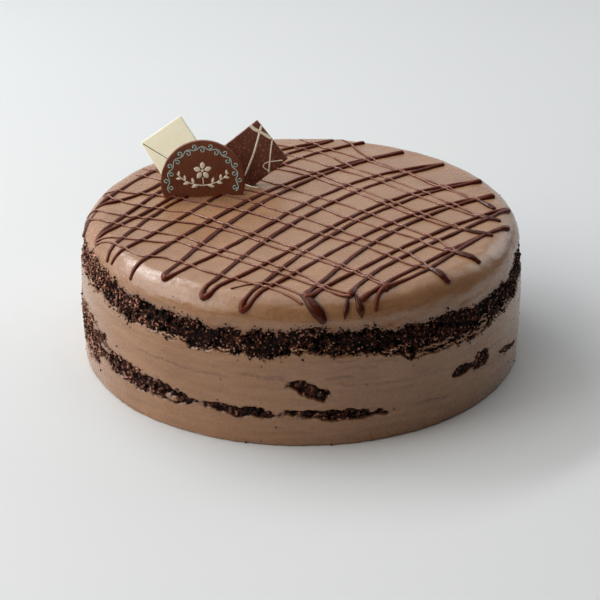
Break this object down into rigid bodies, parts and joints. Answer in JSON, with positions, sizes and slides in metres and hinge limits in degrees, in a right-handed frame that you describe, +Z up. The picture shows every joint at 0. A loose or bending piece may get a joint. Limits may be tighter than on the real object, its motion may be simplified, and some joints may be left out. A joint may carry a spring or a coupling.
{
  "type": "chocolate cake",
  "caption": "Round chocolate layer cake with scraped chocolate icing, dark sponge showing at the side, a crossing chocolate drizzle and three chocolate plaques",
  "frame": {"origin": "centre of the cake's flat base, on the surface that it stands on", "axes": "+Z up, the front with the big drip towards -Y, +X to the right seen from the front"},
  "size_m": [0.2409, 0.2413, 0.1154],
  "materials": {
    "icing": "smooth chocolate icing, soft satin, scraped at the side",
    "sponge": "dark open crumb, rough",
    "milk_chocolate": "moulded milk chocolate, soft shine",
    "white_chocolate": "moulded white chocolate, soft shine",
    "dark_chocolate": "dark chocolate dusted with cocoa"
  },
  "bodies": {
    "root": {"icing_top": "icing", "icing_lower": "icing", "sponge_upper": "sponge", "sponge_lower": "sponge", "plaque_round": "milk_chocolate", "plaque_white": "white_chocolate", "plaque_dark": "dark_chocolate"}
  },
  "joints": []
}
